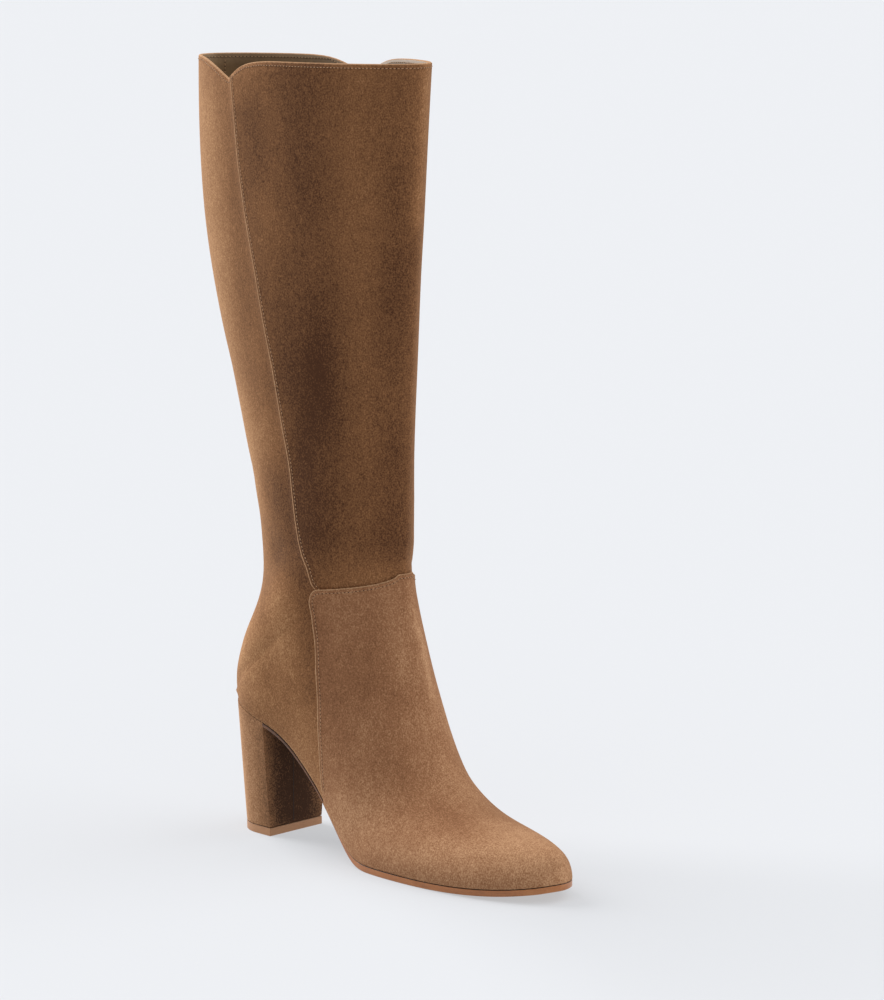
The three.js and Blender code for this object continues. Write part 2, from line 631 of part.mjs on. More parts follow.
const boot = new THREE.Group();
boot.add(part('upper', upperGeometry(), 0x7d5a3e, 0.95));
boot.add(part('vamp_panel', vampGeometry(), 0x87633f, 0.95));
boot.add(part('insole', insoleGeometry(), 0x8a7350, 0.7));
boot.add(part('outsole', outsoleGeometry(), 0xb47a48, 0.6));
boot.add(part('heel_block', heelBlockGeometry(), 0x7a573c, 0.95));
boot.add(part('top_lift', topLiftGeometry(), 0xc08850, 0.6));

export default boot;
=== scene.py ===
"""The looks of a right knee-high boot in suede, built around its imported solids.

Lengths in the classes below are in millimetres, in the row frame: +X to the toe, +Y to the
medial side, +Z up the shaft, with the origin under the middle of the top lift.
"""

import logging
import math
from dataclasses import dataclass, field
from enum import Enum
from typing import Callable, Iterable, Sequence

import bmesh
import bpy
import numpy as np
from mathutils import Matrix, Vector
from mathutils.bvhtree import BVHTree


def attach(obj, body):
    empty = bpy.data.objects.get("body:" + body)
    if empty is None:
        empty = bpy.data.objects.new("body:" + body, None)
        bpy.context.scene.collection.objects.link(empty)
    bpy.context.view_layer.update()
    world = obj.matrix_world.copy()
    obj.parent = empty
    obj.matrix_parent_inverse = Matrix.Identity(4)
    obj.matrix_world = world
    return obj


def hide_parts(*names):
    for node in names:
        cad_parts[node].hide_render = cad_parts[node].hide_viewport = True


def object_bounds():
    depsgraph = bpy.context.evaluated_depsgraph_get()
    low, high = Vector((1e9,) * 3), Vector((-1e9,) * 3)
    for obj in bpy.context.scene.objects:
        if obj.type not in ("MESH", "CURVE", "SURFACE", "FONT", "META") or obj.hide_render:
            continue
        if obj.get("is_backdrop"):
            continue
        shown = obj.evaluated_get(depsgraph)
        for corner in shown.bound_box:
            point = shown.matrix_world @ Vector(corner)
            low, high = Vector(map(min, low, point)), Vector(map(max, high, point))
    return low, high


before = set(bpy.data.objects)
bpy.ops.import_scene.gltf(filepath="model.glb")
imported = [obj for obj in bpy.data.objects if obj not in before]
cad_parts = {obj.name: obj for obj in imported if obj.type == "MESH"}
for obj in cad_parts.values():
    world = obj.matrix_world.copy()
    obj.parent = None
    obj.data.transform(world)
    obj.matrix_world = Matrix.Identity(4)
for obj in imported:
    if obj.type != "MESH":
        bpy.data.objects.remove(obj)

Point = tuple[float, float, float]
Colour = tuple[float, float, float]

MM = 0.001
BODY = "root"
TONE = "tone"
SEAT_HEIGHT = 70.5
SEAT_FALL = 0.285

logging.basicConfig(level=logging.INFO, format="%(name)s: %(message)s")
log = logging.getLogger("boot")


class Side(Enum):
    """A side of the right boot, as the sign of Y."""

    LATERAL = -1
    MEDIAL = 1


class Face(Enum):
    """What a face of the upper or the vamp is, as its material's place in the piece."""

    SUEDE = 0
    LINING = 1
    CUT = 2


def linear(red: int, green: int, blue: int) -> Colour:
    """Turns a colour as seen on a screen, 0 to 255, into the linear one that shaders use.

    Args:
        red: The red part.
        green: The green part.
        blue: The blue part.

    Returns:
        The linear colour.
    """
    parts = [value / 255 for value in (red, green, blue)]
    return tuple(p / 12.92 if p < 0.04045 else ((p + 0.055) / 1.055) ** 2.4 for p in parts)


class Graph:
    """A material whose nodes are added and joined one at a time."""

    def __init__(self, name: str, roughness: float) -> None:
        """Starts a material with its principled shader and its object coordinates.

        Args:
            name: The material's name.
            roughness: The shader's roughness.
        """
        self.material = bpy.data.materials.new(name)
        self.material.use_nodes = True
        self.tree = self.material.node_tree
        self.shader = self.tree.nodes["Principled BSDF"]
        self.shader.inputs["Roughness"].default_value = roughness
        self.place = self.tree.nodes.new("ShaderNodeTexCoord").outputs["Object"]

    def join(self, start: bpy.types.NodeSocket, end: bpy.types.NodeSocket) -> None:
        """Joins an output to an input."""
        self.tree.links.new(start, end)

    def noise(
        self, scale: float, detail: float = 3.0, stretch: Point = (1, 1, 1), warp: float = 0.0
    ) -> bpy.types.NodeSocket:
        """Adds a noise over the piece's own coordinates.

        Args:
            scale: Its cells in a metre.
            detail: How many finer layers it has.
            stretch: A factor on each axis of the coordinates.
            warp: How far the noise distorts itself.

        Returns:
            The noise's value, about 0.5.
        """
        mapping = self.tree.nodes.new("ShaderNodeMapping")
        mapping.inputs["Scale"].default_value = stretch
        self.join(self.place, mapping.inputs["Vector"])
        node = self.tree.nodes.new("ShaderNodeTexNoise")
        node.inputs["Scale"].default_value = scale
        node.inputs["Detail"].default_value = detail
        node.inputs["Roughness"].default_value = 0.55
        node.inputs["Distortion"].default_value = warp
        self.join(mapping.outputs["Vector"], node.inputs["Vector"])
        return node.outputs["Fac"]

    def tone(self) -> bpy.types.NodeSocket:
        """Reads the tone painted on the piece, which holds painted light and shade: below 0 is darker, above
        0 is lighter.
        """
        node = self.tree.nodes.new("ShaderNodeAttribute")
        node.attribute_name = TONE
        return node.outputs["Fac"]

    def total(
        self, start: float, terms: Sequence[tuple[bpy.types.NodeSocket, float]]
    ) -> bpy.types.NodeSocket:
        """Adds up sockets, each times its weight.

        Args:
            start: The value that the sum starts from.
            terms: Pairs of a socket and its weight.

        Returns:
            The sum.
        """
        last = None
        for socket, weight in terms:
            node = self.tree.nodes.new("ShaderNodeMath")
            node.operation = "MULTIPLY_ADD"
            self.join(socket, node.inputs[0])
            node.inputs[1].default_value = weight
            if last is None:
                node.inputs[2].default_value = start
            else:
                self.join(last, node.inputs[2])
            last = node.outputs[0]
        return last

    def ramp(
        self, value: bpy.types.NodeSocket, colours: Sequence[Colour]
    ) -> bpy.types.NodeSocket:
        """Turns a value from 0 to 1 into colours at even steps, and gives it to the shader.

        Args:
            value: The value.
            colours: The colours from 0 to 1.

        Returns:
            The colour.
        """
        node = self.tree.nodes.new("ShaderNodeValToRGB")
        stops = node.color_ramp.elements
        while len(stops) < len(colours):
            stops.new(0.5)
        for i, colour in enumerate(colours):
            stops[i].position = i / (len(colours) - 1)
            stops[i].color = (*colour, 1)
        self.join(value, node.inputs["Fac"])
        self.join(node.outputs["Color"], self.shader.inputs["Base Color"])
        return node.outputs["Color"]

    def bump(self, height: bpy.types.NodeSocket, strength: float, depth: float) -> None:
        """Gives the shader a relief.

        Args:
            height: The relief's height.
            strength: How strong it is, from 0 to 1.
            depth: The depth of a height of 1, in millimetres.
        """
        node = self.tree.nodes.new("ShaderNodeBump")
        node.inputs["Strength"].default_value = strength
        node.inputs["Distance"].default_value = depth * MM
        self.join(height, node.inputs["Height"])
        self.join(node.outputs["Normal"], self.shader.inputs["Normal"])


@dataclass(frozen=True)
class Suede:
    """Brushed suede: a soft mottled nap, paler at grazing angles, with the painted light and shade of the
    tone on the piece.
    """

    name: str
    dark: Colour
    mid: Colour
    light: Colour
    sheen: float = 0.3
    patches: float = 0.36
    nap: float = 0.3
    fibre: float = 1.15

    def material(self) -> bpy.types.Material:
        """Makes the material.

        Returns:
            The suede, whose colour follows its noises and the tone painted on the piece.
        """
        graph = Graph(self.name, 0.92)
        broad = graph.noise(17, 3, (1, 1, 0.6), 0.3)
        patch = graph.noise(75, 3, (1, 1, 0.7), 0.4)
        nap = graph.noise(420, 4, (1, 1, 0.5), 0.2)
        fibre = graph.noise(1350, 3, (1, 1, 0.8))
        weights = [self.patches, 0.35 * self.patches, self.nap, self.fibre]
        terms = list(zip([broad, patch, nap, fibre], weights))
        value = graph.total(0.5 - sum(weights) / 2, [*terms, (graph.tone(), 0.5)])
        graph.ramp(value, [self.dark, self.mid, self.light])
        graph.bump(graph.total(0, [(nap, 0.5), (fibre, 1)]), 0.35, 0.35)
        inputs = graph.shader.inputs
        inputs["Specular IOR Level"].default_value = 0.15
        inputs["Sheen Weight"].default_value = self.sheen
        inputs["Sheen Roughness"].default_value = 0.42
        inputs["Sheen Tint"].default_value = (*linear(228, 184, 142), 1)
        return graph.material


@dataclass(frozen=True)
class Leather:
    """Smooth leather: a fine grain and a little gloss, with a tone painted on the piece."""

    name: str
    dark: Colour
    mid: Colour
    light: Colour
    roughness: float
    grain: float = 900
    relief: float = 0.12
    streak: Point = (1, 1, 1)
    coat: float = 0.0

    def material(self) -> bpy.types.Material:
        """Makes the material.

        Returns:
            The leather.
        """
        graph = Graph(self.name, self.roughness)
        cloud = graph.noise(40, 3)
        streak = graph.noise(260, 3, self.streak)
        pores = graph.noise(self.grain, 3)
        terms = [(cloud, 0.35), (streak, 0.35), (pores, 0.25), (graph.tone(), 0.5)]
        graph.ramp(graph.total(0.025, terms), [self.dark, self.mid, self.light])
        graph.bump(graph.total(0, [(pores, 1), (streak, 0.4)]), 0.3, self.relief)
        graph.shader.inputs["Coat Weight"].default_value = self.coat
        graph.shader.inputs["Coat Roughness"].default_value = 0.3
        return graph.material


@dataclass(frozen=True)
class Thread:
    """Sewing thread, or the painted shade of a needle hole or of a seam's groove, with a fine mottle."""

    name: str
    dark: Colour
    light: Colour
    roughness: float = 0.75

    def material(self) -> bpy.types.Material:
        """Makes the material.

        Returns:
            The thread.
        """
        graph = Graph(self.name, self.roughness)
        graph.ramp(graph.noise(1800, 2), [self.dark, self.light])
        graph.shader.inputs["Sheen Weight"].default_value = 0.1
        return graph.material


SHAFT_SUEDE = Suede("shaft_suede", linear(74, 44, 26), linear(138, 95, 61), linear(194, 149, 106))
VAMP_SUEDE = Suede("vamp_suede", linear(92, 57, 35), linear(144, 100, 69), linear(198, 155, 117), patches=0.6)
HEEL_SUEDE = Suede("heel_suede", linear(60, 37, 24), linear(150, 108, 75), linear(200, 156, 118))
# Paler cut suede for the collar's rim and the cut edges, lighter still as a painted highlight.
CUT_SUEDE_HIGHLIGHT = Suede("cut_suede_highlight", linear(122, 88, 60), linear(166, 126, 92), linear(202, 166, 130))
LINING_LEATHER = Leather(
    "lining_leather", linear(78, 58, 36), linear(124, 97, 65), linear(158, 128, 90), 0.55
)
SOCK_LEATHER = Leather(
    "sock_leather", linear(92, 70, 46), linear(136, 108, 74), linear(166, 136, 98), 0.5
)
EDGE_LEATHER = Leather(
    "sole_edge_leather", linear(46, 24, 12), linear(166, 102, 52), linear(202, 142, 86),
    0.42, 700, 0.08, (0.5, 0.5, 5), 0.25,
)
TREAD_LEATHER = Leather(
    "tread_leather", linear(122, 88, 58), linear(182, 142, 102), linear(212, 178, 138), 0.5
)
LIFT_RUBBER = Leather(
    "lift_rubber", linear(122, 84, 54), linear(172, 124, 86), linear(200, 156, 112),
    0.5, 1200, 0.1, (1, 1, 6),
)
SEAM_THREAD = Thread("seam_thread", linear(150, 110, 74), linear(198, 156, 114))
RECESS_SHADE = Thread("recess_shade", linear(36, 21, 12), linear(54, 33, 20), 0.95)


@dataclass(frozen=True)
class Stroke:
    """A line over the skin: a fold to press in, or a band of painted light (above 0) or painted shade (below
    0) to brush on.
    """

    amount: float
    width: float
    line: tuple[Point, ...]

    def field(self, places: np.ndarray) -> np.ndarray:
        """Works out how strongly the stroke acts at each place.

        Args:
            places: The places, in millimetres, a row each.

        Returns:
            The stroke's amount at each place, fading softly to the sides and past the ends.
        """
        nearest = np.full(len(places), np.inf)
        points = np.array(self.line, float)
        for start, end in zip(points[:-1], points[1:]):
            along = end - start
            share = np.clip((places - start) @ along / (along @ along), 0, 1)
            gap = np.linalg.norm(places - start - share[:, None] * along, axis=1)
            nearest = np.minimum(nearest, gap)
        return self.amount * np.exp(-((nearest / self.width) ** 2))


def painted(strokes: Iterable[Stroke], places: np.ndarray) -> np.ndarray:
    """Adds up strokes.

    Args:
        strokes: The strokes.
        places: The places, in millimetres, a row each.

    Returns:
        The sum of all strokes at each place.
    """
    total = np.zeros(len(places))
    for stroke in strokes:
        total += stroke.field(places)
    return total


def nearest_on_line(line: Sequence[Point], places: np.ndarray) -> np.ndarray:
    """Finds the nearest point of a line for each place.

    Args:
        line: The line's corners.
        places: The places, a row each.

    Returns:
        The nearest points, a row each.
    """
    best = np.full(len(places), np.inf)
    found = np.zeros_like(places)
    points = np.array(line, float)
    for start, end in zip(points[:-1], points[1:]):
        along = end - start
        share = np.clip((places - start) @ along / (along @ along), 0, 1)
        spots = start + share[:, None] * along
        gap = np.linalg.norm(places - spots, axis=1)
        closer = gap < best
        best[closer] = gap[closer]
        found[closer] = spots[closer]
    return found


def seat_height(x: float | np.ndarray) -> float | np.ndarray:
    """The height of the upper's lower edge over the heel, in millimetres, at a place along it."""
    return SEAT_HEIGHT - SEAT_FALL * x


class Skin:
    """A merged copy of a solid's surface, which is made finer and then shaped and painted."""

    def __init__(self, node: str) -> None:
        """Copies the solid and joins its loose triangles into quads.

        Args:
            node: The solid's name.
        """
        self.node = node
        self.bm = bmesh.new()
        self.bm.from_mesh(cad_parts[node].data)
        bmesh.ops.remove_doubles(self.bm, verts=self.bm.verts[:], dist=0.004 * MM)
        bmesh.ops.join_triangles(
            self.bm,
            faces=self.bm.faces[:],
            angle_face_threshold=math.radians(28),
            angle_shape_threshold=math.radians(70),
        )
        self.bm.normal_update()
        self.obj: bpy.types.Object | None = None

    def sharpen(self, angle: float, weight: float, below: float = math.inf) -> None:
        """Keeps the edges that turn by more than an angle crisp when the skin is made finer.

        Args:
            angle: The angle, in degrees.
            weight: How crisp, from 0 to 1.
            below: The height up to which this is done, in millimetres.
        """
        layer = self.bm.edges.layers.float.get("crease_edge")
        layer = layer or self.bm.edges.layers.float.new("crease_edge")
        for edge in self.bm.edges:
            low = min(vert.co.z for vert in edge.verts) < below * MM
            if low and edge.calc_face_angle(0) > math.radians(angle):
                edge[layer] = weight

    def flatten(self, gap: float, rise: float, high: float, reach: float) -> None:
        """Takes down a narrow bead over the counter, by joining its close rows into one.

        Args:
            gap: The widest gap between rows that are joined, in millimetres.
            rise: How far above the seat it starts, in millimetres.
            high: Its greatest height.
            reach: How far forward it goes, in millimetres.
        """
        close = [vert for vert in self.bm.verts if self.is_outside(vert, rise, high, reach)]
        bmesh.ops.remove_doubles(self.bm, verts=close, dist=gap * MM)
        self.bm.normal_update()
        region = [vert for vert in self.bm.verts if self.is_outside(vert, rise, high, reach)]
        for _ in range(2):
            moves = {}
            for vert in region:
                around = [edge.other_vert(vert).co for edge in vert.link_edges]
                middle = sum(around, Vector()) / len(around)
                height = vert.normal.dot(vert.co - middle)
                bulge = sum(
                    abs(edge.calc_face_angle_signed(0)) for edge in vert.link_edges
                ) / len(around)
                if bulge > math.radians(12):
                    moves[vert] = vert.normal * -0.35 * height
            for vert, move in moves.items():
                vert.co += move
            self.bm.normal_update()
        log.info("counter: %d corners, %d evened out", len(region), len(moves))

    def is_outside(
        self, vert: bmesh.types.BMVert, rise: float, high: float, reach: float
    ) -> bool:
        """Tells whether a corner lies outside, above the seat and behind a place."""
        kinds = {face.material_index for face in vert.link_faces}
        spot = vert.co / MM
        here = seat_height(spot.x) + rise < spot.z < high and spot.x < reach
        return here and kinds == {Face.SUEDE.value}

    def refine(self, name: str, levels: int) -> bpy.types.Object:
        """Makes the skin finer and turns it into an object.

        Args:
            name: The object's name.
            levels: How often each face is divided.

        Returns:
            The object, with no live modifiers.
        """
        coarse = bpy.data.meshes.new(name + "_coarse")
        self.bm.to_mesh(coarse)
        self.bm.free()
        obj = bpy.data.objects.new(name, coarse)
        bpy.context.scene.collection.objects.link(obj)
        rounding = obj.modifiers.new("rounding", "SUBSURF")
        rounding.levels = rounding.render_levels = levels
        view = bpy.context.evaluated_depsgraph_get()
        fine = bpy.data.meshes.new_from_object(obj.evaluated_get(view))
        obj.modifiers.clear()
        obj.data = fine
        fine.name = name
        bpy.data.meshes.remove(coarse)
        fine.shade_smooth()
        self.obj = obj
        return obj

    def places(self) -> np.ndarray:
        """The fine skin's vertices, in millimetres, a row each."""
        mesh = self.obj.data
        found = np.zeros(len(mesh.vertices) * 3)
        mesh.vertices.foreach_get("co", found)
        return found.reshape(-1, 3) / MM

    def normals(self) -> np.ndarray:
        """The fine skin's normals, a row each."""
        mesh = self.obj.data
        found = np.zeros(len(mesh.vertices) * 3, np.float32)
        mesh.vertex_normals.foreach_get("vector", found)
        return found.reshape(-1, 3).astype(float)

    def move(self, places: np.ndarray) -> None:
        """Moves the fine skin's vertices.

        Args:
            places: Their new places, in millimetres, a row each.
        """
        self.obj.data.vertices.foreach_set("co", (places * MM).ravel())
        self.obj.data.update()

    def relax(self, share: np.ndarray, rounds: int) -> None:
        """Evens out small ledges of the fine skin, without making it thinner.

        Args:
            share: How much each vertex takes part, from 0 to 1.
            rounds: How often.
        """
        mesh = self.obj.data
        pairs = np.zeros(len(mesh.edges) * 2, int)
        mesh.edges.foreach_get("vertices", pairs)
        start, end = pairs.reshape(-1, 2).T
        places = self.places()
        count = np.bincount(pairs, minlength=len(places))[:, None]
        for turn in range(2 * rounds):
            around = np.zeros_like(places)
            np.add.at(around, start, places[end])
            np.add.at(around, end, places[start])
            step = 0.5 if turn % 2 == 0 else -0.51
            places = places + step * share[:, None] * (around / count - places)
        self.move(places)

    def paint(self, tones: np.ndarray) -> None:
        """Paints a tone on each vertex, below 0 for darker and above 0 for lighter; it carries the painted
        light and shade.
        """
        layer = self.obj.data.attributes.new(TONE, "FLOAT", "POINT")
        layer.data.foreach_set("value", tones.astype(np.float32))

    def dress(self, slot: str, *finishes: Suede | Leather | Thread) -> None:
        """Gives the skin its materials and its body, in place of the solid.

        Args:
            slot: Not used.
            finishes: The finishes, in the order of the faces' material places.
        """
        for finish in finishes:
            self.obj.data.materials.append(finish.material())
        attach(self.obj, BODY)
        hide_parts(self.node)
        log.info("%s: %d faces", self.obj.name, len(self.obj.data.polygons))


def chains(edges: Iterable[bmesh.types.BMEdge]) -> list[list[Vector]]:
    """Joins edges into lines.

    Args:
        edges: The edges.

    Returns:
        The lines as lists of places, the longest first, closed ones with their first place
        again at the end.
    """
    at: dict[bmesh.types.BMVert, list[bmesh.types.BMEdge]] = {}
    for edge in edges:
        for vert in edge.verts:
            at.setdefault(vert, []).append(edge)
    used: set[bmesh.types.BMEdge] = set()
    lines = []
    starts = sorted(at, key=lambda v: (len(at[v]) != 1, v.index))
    for start in starts:
        vert, line = start, [start.co.copy()]
        while True:
            onward = [edge for edge in at[vert] if edge not in used]
            if not onward:
                break
            used.add(onward[0])
            vert = onward[0].other_vert(vert)
            line.append(vert.co.copy())
        if len(line) > 1:
            lines.append(line)
    return sorted(lines, key=length, reverse=True)


def length(line: Sequence[Vector]) -> float:
    """The length of a line, in metres."""
    return sum((b - a).length for a, b in zip(line[:-1], line[1:]))


def spaced(line: Sequence[Vector], pitch: float) -> list[Vector]:
    """Sets places along a line at even steps.

    Args:
        line: The line's corners, in metres.
        pitch: The step, in millimetres.

    Returns:
        The places.
    """
    whole = length(line)
    count = max(2, round(whole / (pitch * MM)))
    places, done, k = [], 0.0, 0
    for a, b in zip(line[:-1], line[1:]):
        part = (b - a).length
        while k <= count and done + part >= k * whole / count - 1e-9:
            share = 0 if part == 0 else (k * whole / count - done) / part
            places.append(a.lerp(b, min(1, max(0, share))))
            k += 1
        done += part
    return places


def beside(
    tree: BVHTree, line: Sequence[Vector], gap: float, towards: Point, step: float = 2.0
) -> list[Vector]:
    """Runs a line over a surface at an even distance from another line on it.

    Args:
        tree: The surface.
        line: The first line, in metres.
        gap: The distance, in millimetres.
        towards: The direction in which the new line lies from the first.
        step: How close its corners are, in millimetres.

    Returns:
        The new line's corners on the surface.
    """
    places = spaced(line, step)
    found = []
    for i, place in enumerate(places):
        tangent = (places[min(i + 2, len(places) - 1)] - places[max(i - 2, 0)]).normalized()
        inward = place + Vector(towards).normalized() * gap * MM
        normal = tree.find_nearest(inward)[1]
        across = normal.cross(tangent).normalized()
        if across.dot(Vector(towards)) < 0:
            across.negate()
        found.append(tree.find_nearest(place + across * gap * MM)[0])
    return found


@dataclass(frozen=True)
class StitchRow:
    """A row of machine stitches with a needle hole between each pair, drawn as a dark disc of painted shade.
    """

    pitch: float = 2.1
    stitch: float = 1.35
    girth: float = 0.46
    proud: float = 0.1
    hole: float = 0.62
    hole_depth: float = 0.16

    def places(self, tree: BVHTree, line: Sequence[Vector], holes: bool) -> list[Matrix]:
        """Sets the stitches, or the holes between them, along a line.

        Args:
            tree: The surface that they lie on.
            line: The line, in metres.
            holes: Whether the holes are set and not the stitches.

        Returns:
            A transform for each, from a shape of radius 1.
        """
        found = []
        spots = spaced(line, self.pitch / 2)
        if holes:
            size, lift = (self.hole, self.hole, self.hole_depth), 0.02
        else:
            size, lift = (self.stitch, self.girth, self.girth), self.proud
        for i in range(1, len(spots) - 1):
            if (i % 2 == 0) != holes:
                continue
            spot, normal, _, _ = tree.find_nearest(spots[i])
            across = normal.cross(spots[i + 1] - spots[i - 1]).normalized()
            axes = (across.cross(normal), across, normal)
            turned = [axis * part * MM / 2 for axis, part in zip(axes, size)]
            place = Matrix(turned).transposed().to_4x4()
            place.translation = spot + normal * lift * MM
            found.append(place)
        return found

    def build(
        self, name: str, slot: str, tree: BVHTree, lines: Sequence[Sequence[Vector]]
    ) -> None:
        """Makes the stitches and the holes of some lines as two joined pieces.

        Args:
            name: The start of the pieces' names.
            slot: Not used.
            tree: The surface that they lie on.
            lines: The lines, in metres.
        """
        # The holes are dark flat discs of painted shade, standing for the shade inside each needle hole.
        for holes, finish in ((False, SEAM_THREAD), (True, RECESS_SHADE)):
            places = [place for line in lines for place in self.places(tree, line, holes)]
            bead = bmesh.new()
            bmesh.ops.create_uvsphere(bead, u_segments=6, v_segments=4, radius=1)
            kind = "needle_holes" if holes else "stitches"
            add_piece(repeated(bead, places, f"{name}_{kind}"), finish)


def repeated(shape: bmesh.types.BMesh, places: Sequence[Matrix], name: str) -> bpy.types.Mesh:
    """Repeats a small shape at many places, as one joined mesh.

    Args:
        shape: The shape, which is freed.
        places: A transform for each copy.
        name: The mesh's name.

    Returns:
        The mesh.
    """
    spots = np.array([(*vert.co, 1) for vert in shape.verts])
    faces = [[vert.index for vert in face.verts] for face in shape.faces]
    shape.free()
    moved = [(spots @ np.array(place).T)[:, :3] for place in places]
    shifts = range(0, len(spots) * len(places), len(spots))
    mesh = bpy.data.meshes.new(name)
    mesh.from_pydata(
        np.concatenate(moved).tolist(), [], [[k + at for k in face] for at in shifts for face in faces]
    )
    mesh.update()
    return mesh


Shell = tuple[list[Vector], list[list[int]]]


def ribbon(tree: BVHTree, line: Sequence[Vector], width: float, proud: float) -> Shell:
    """Runs a thin closed band along a line on a surface, as the paler cut edge, lighter still as a painted
    highlight.

    Args:
        tree: The surface.
        line: The line, in metres.
        width: The band's width, in millimetres.
        proud: How far it stands off the surface, in millimetres.

    Returns:
        The band's corners and its faces.
    """
    spots = spaced(line, 1.5)
    corners_: list[Vector] = []
    for i, spot in enumerate(spots):
        run = spots[min(i + 2, len(spots) - 1)] - spots[max(i - 2, 0)]
        foot, normal, _, _ = tree.find_nearest(spot)
        across = normal.cross(run).normalized() * width * MM / 2
        top, bottom = foot + normal * proud * MM, foot - normal * 0.1 * MM
        corners_ += [top - across, top + across, bottom + across, bottom - across]
    faces = [[3, 2, 1, 0]]
    for at in range(0, len(corners_) - 4, 4):
        for k in range(4):
            after = (k + 1) % 4
            faces.append([at + k, at + after, at + 4 + after, at + 4 + k])
    last = len(corners_) - 4
    faces.append([last, last + 1, last + 2, last + 3])
    return corners_, faces


def joined(shells: Sequence[Shell], name: str) -> bpy.types.Mesh:
    """Joins closed shells into one mesh, with their normals outward.

    Args:
        shells: The shells.
        name: The mesh's name.

    Returns:
        The mesh.
    """
    bm = bmesh.new()
    for places, faces in shells:
        verts = [bm.verts.new(place) for place in places]
        for face in faces:
            bm.faces.new([verts[k] for k in face])
    bmesh.ops.recalc_face_normals(bm, faces=bm.faces[:])
    mesh = bpy.data.meshes.new(name)
    bm.to_mesh(mesh)
    bm.free()
    return mesh


def add_piece(
    mesh: bpy.types.Mesh, finish: Suede | Leather | Thread
) -> bpy.types.Object:
    """Turns a mesh into a dressed piece that rides on the boot.

    Args:
        mesh: The mesh, whose name the piece takes.
        finish: Its finish.

    Returns:
        The piece.
    """
    mesh.shade_smooth()
    mesh.materials.append(finish.material())
    obj = bpy.data.objects.new(mesh.name, mesh)
    bpy.context.scene.collection.objects.link(obj)
    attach(obj, BODY)
    log.info("%s: %d faces", obj.name, len(mesh.polygons))
    return obj


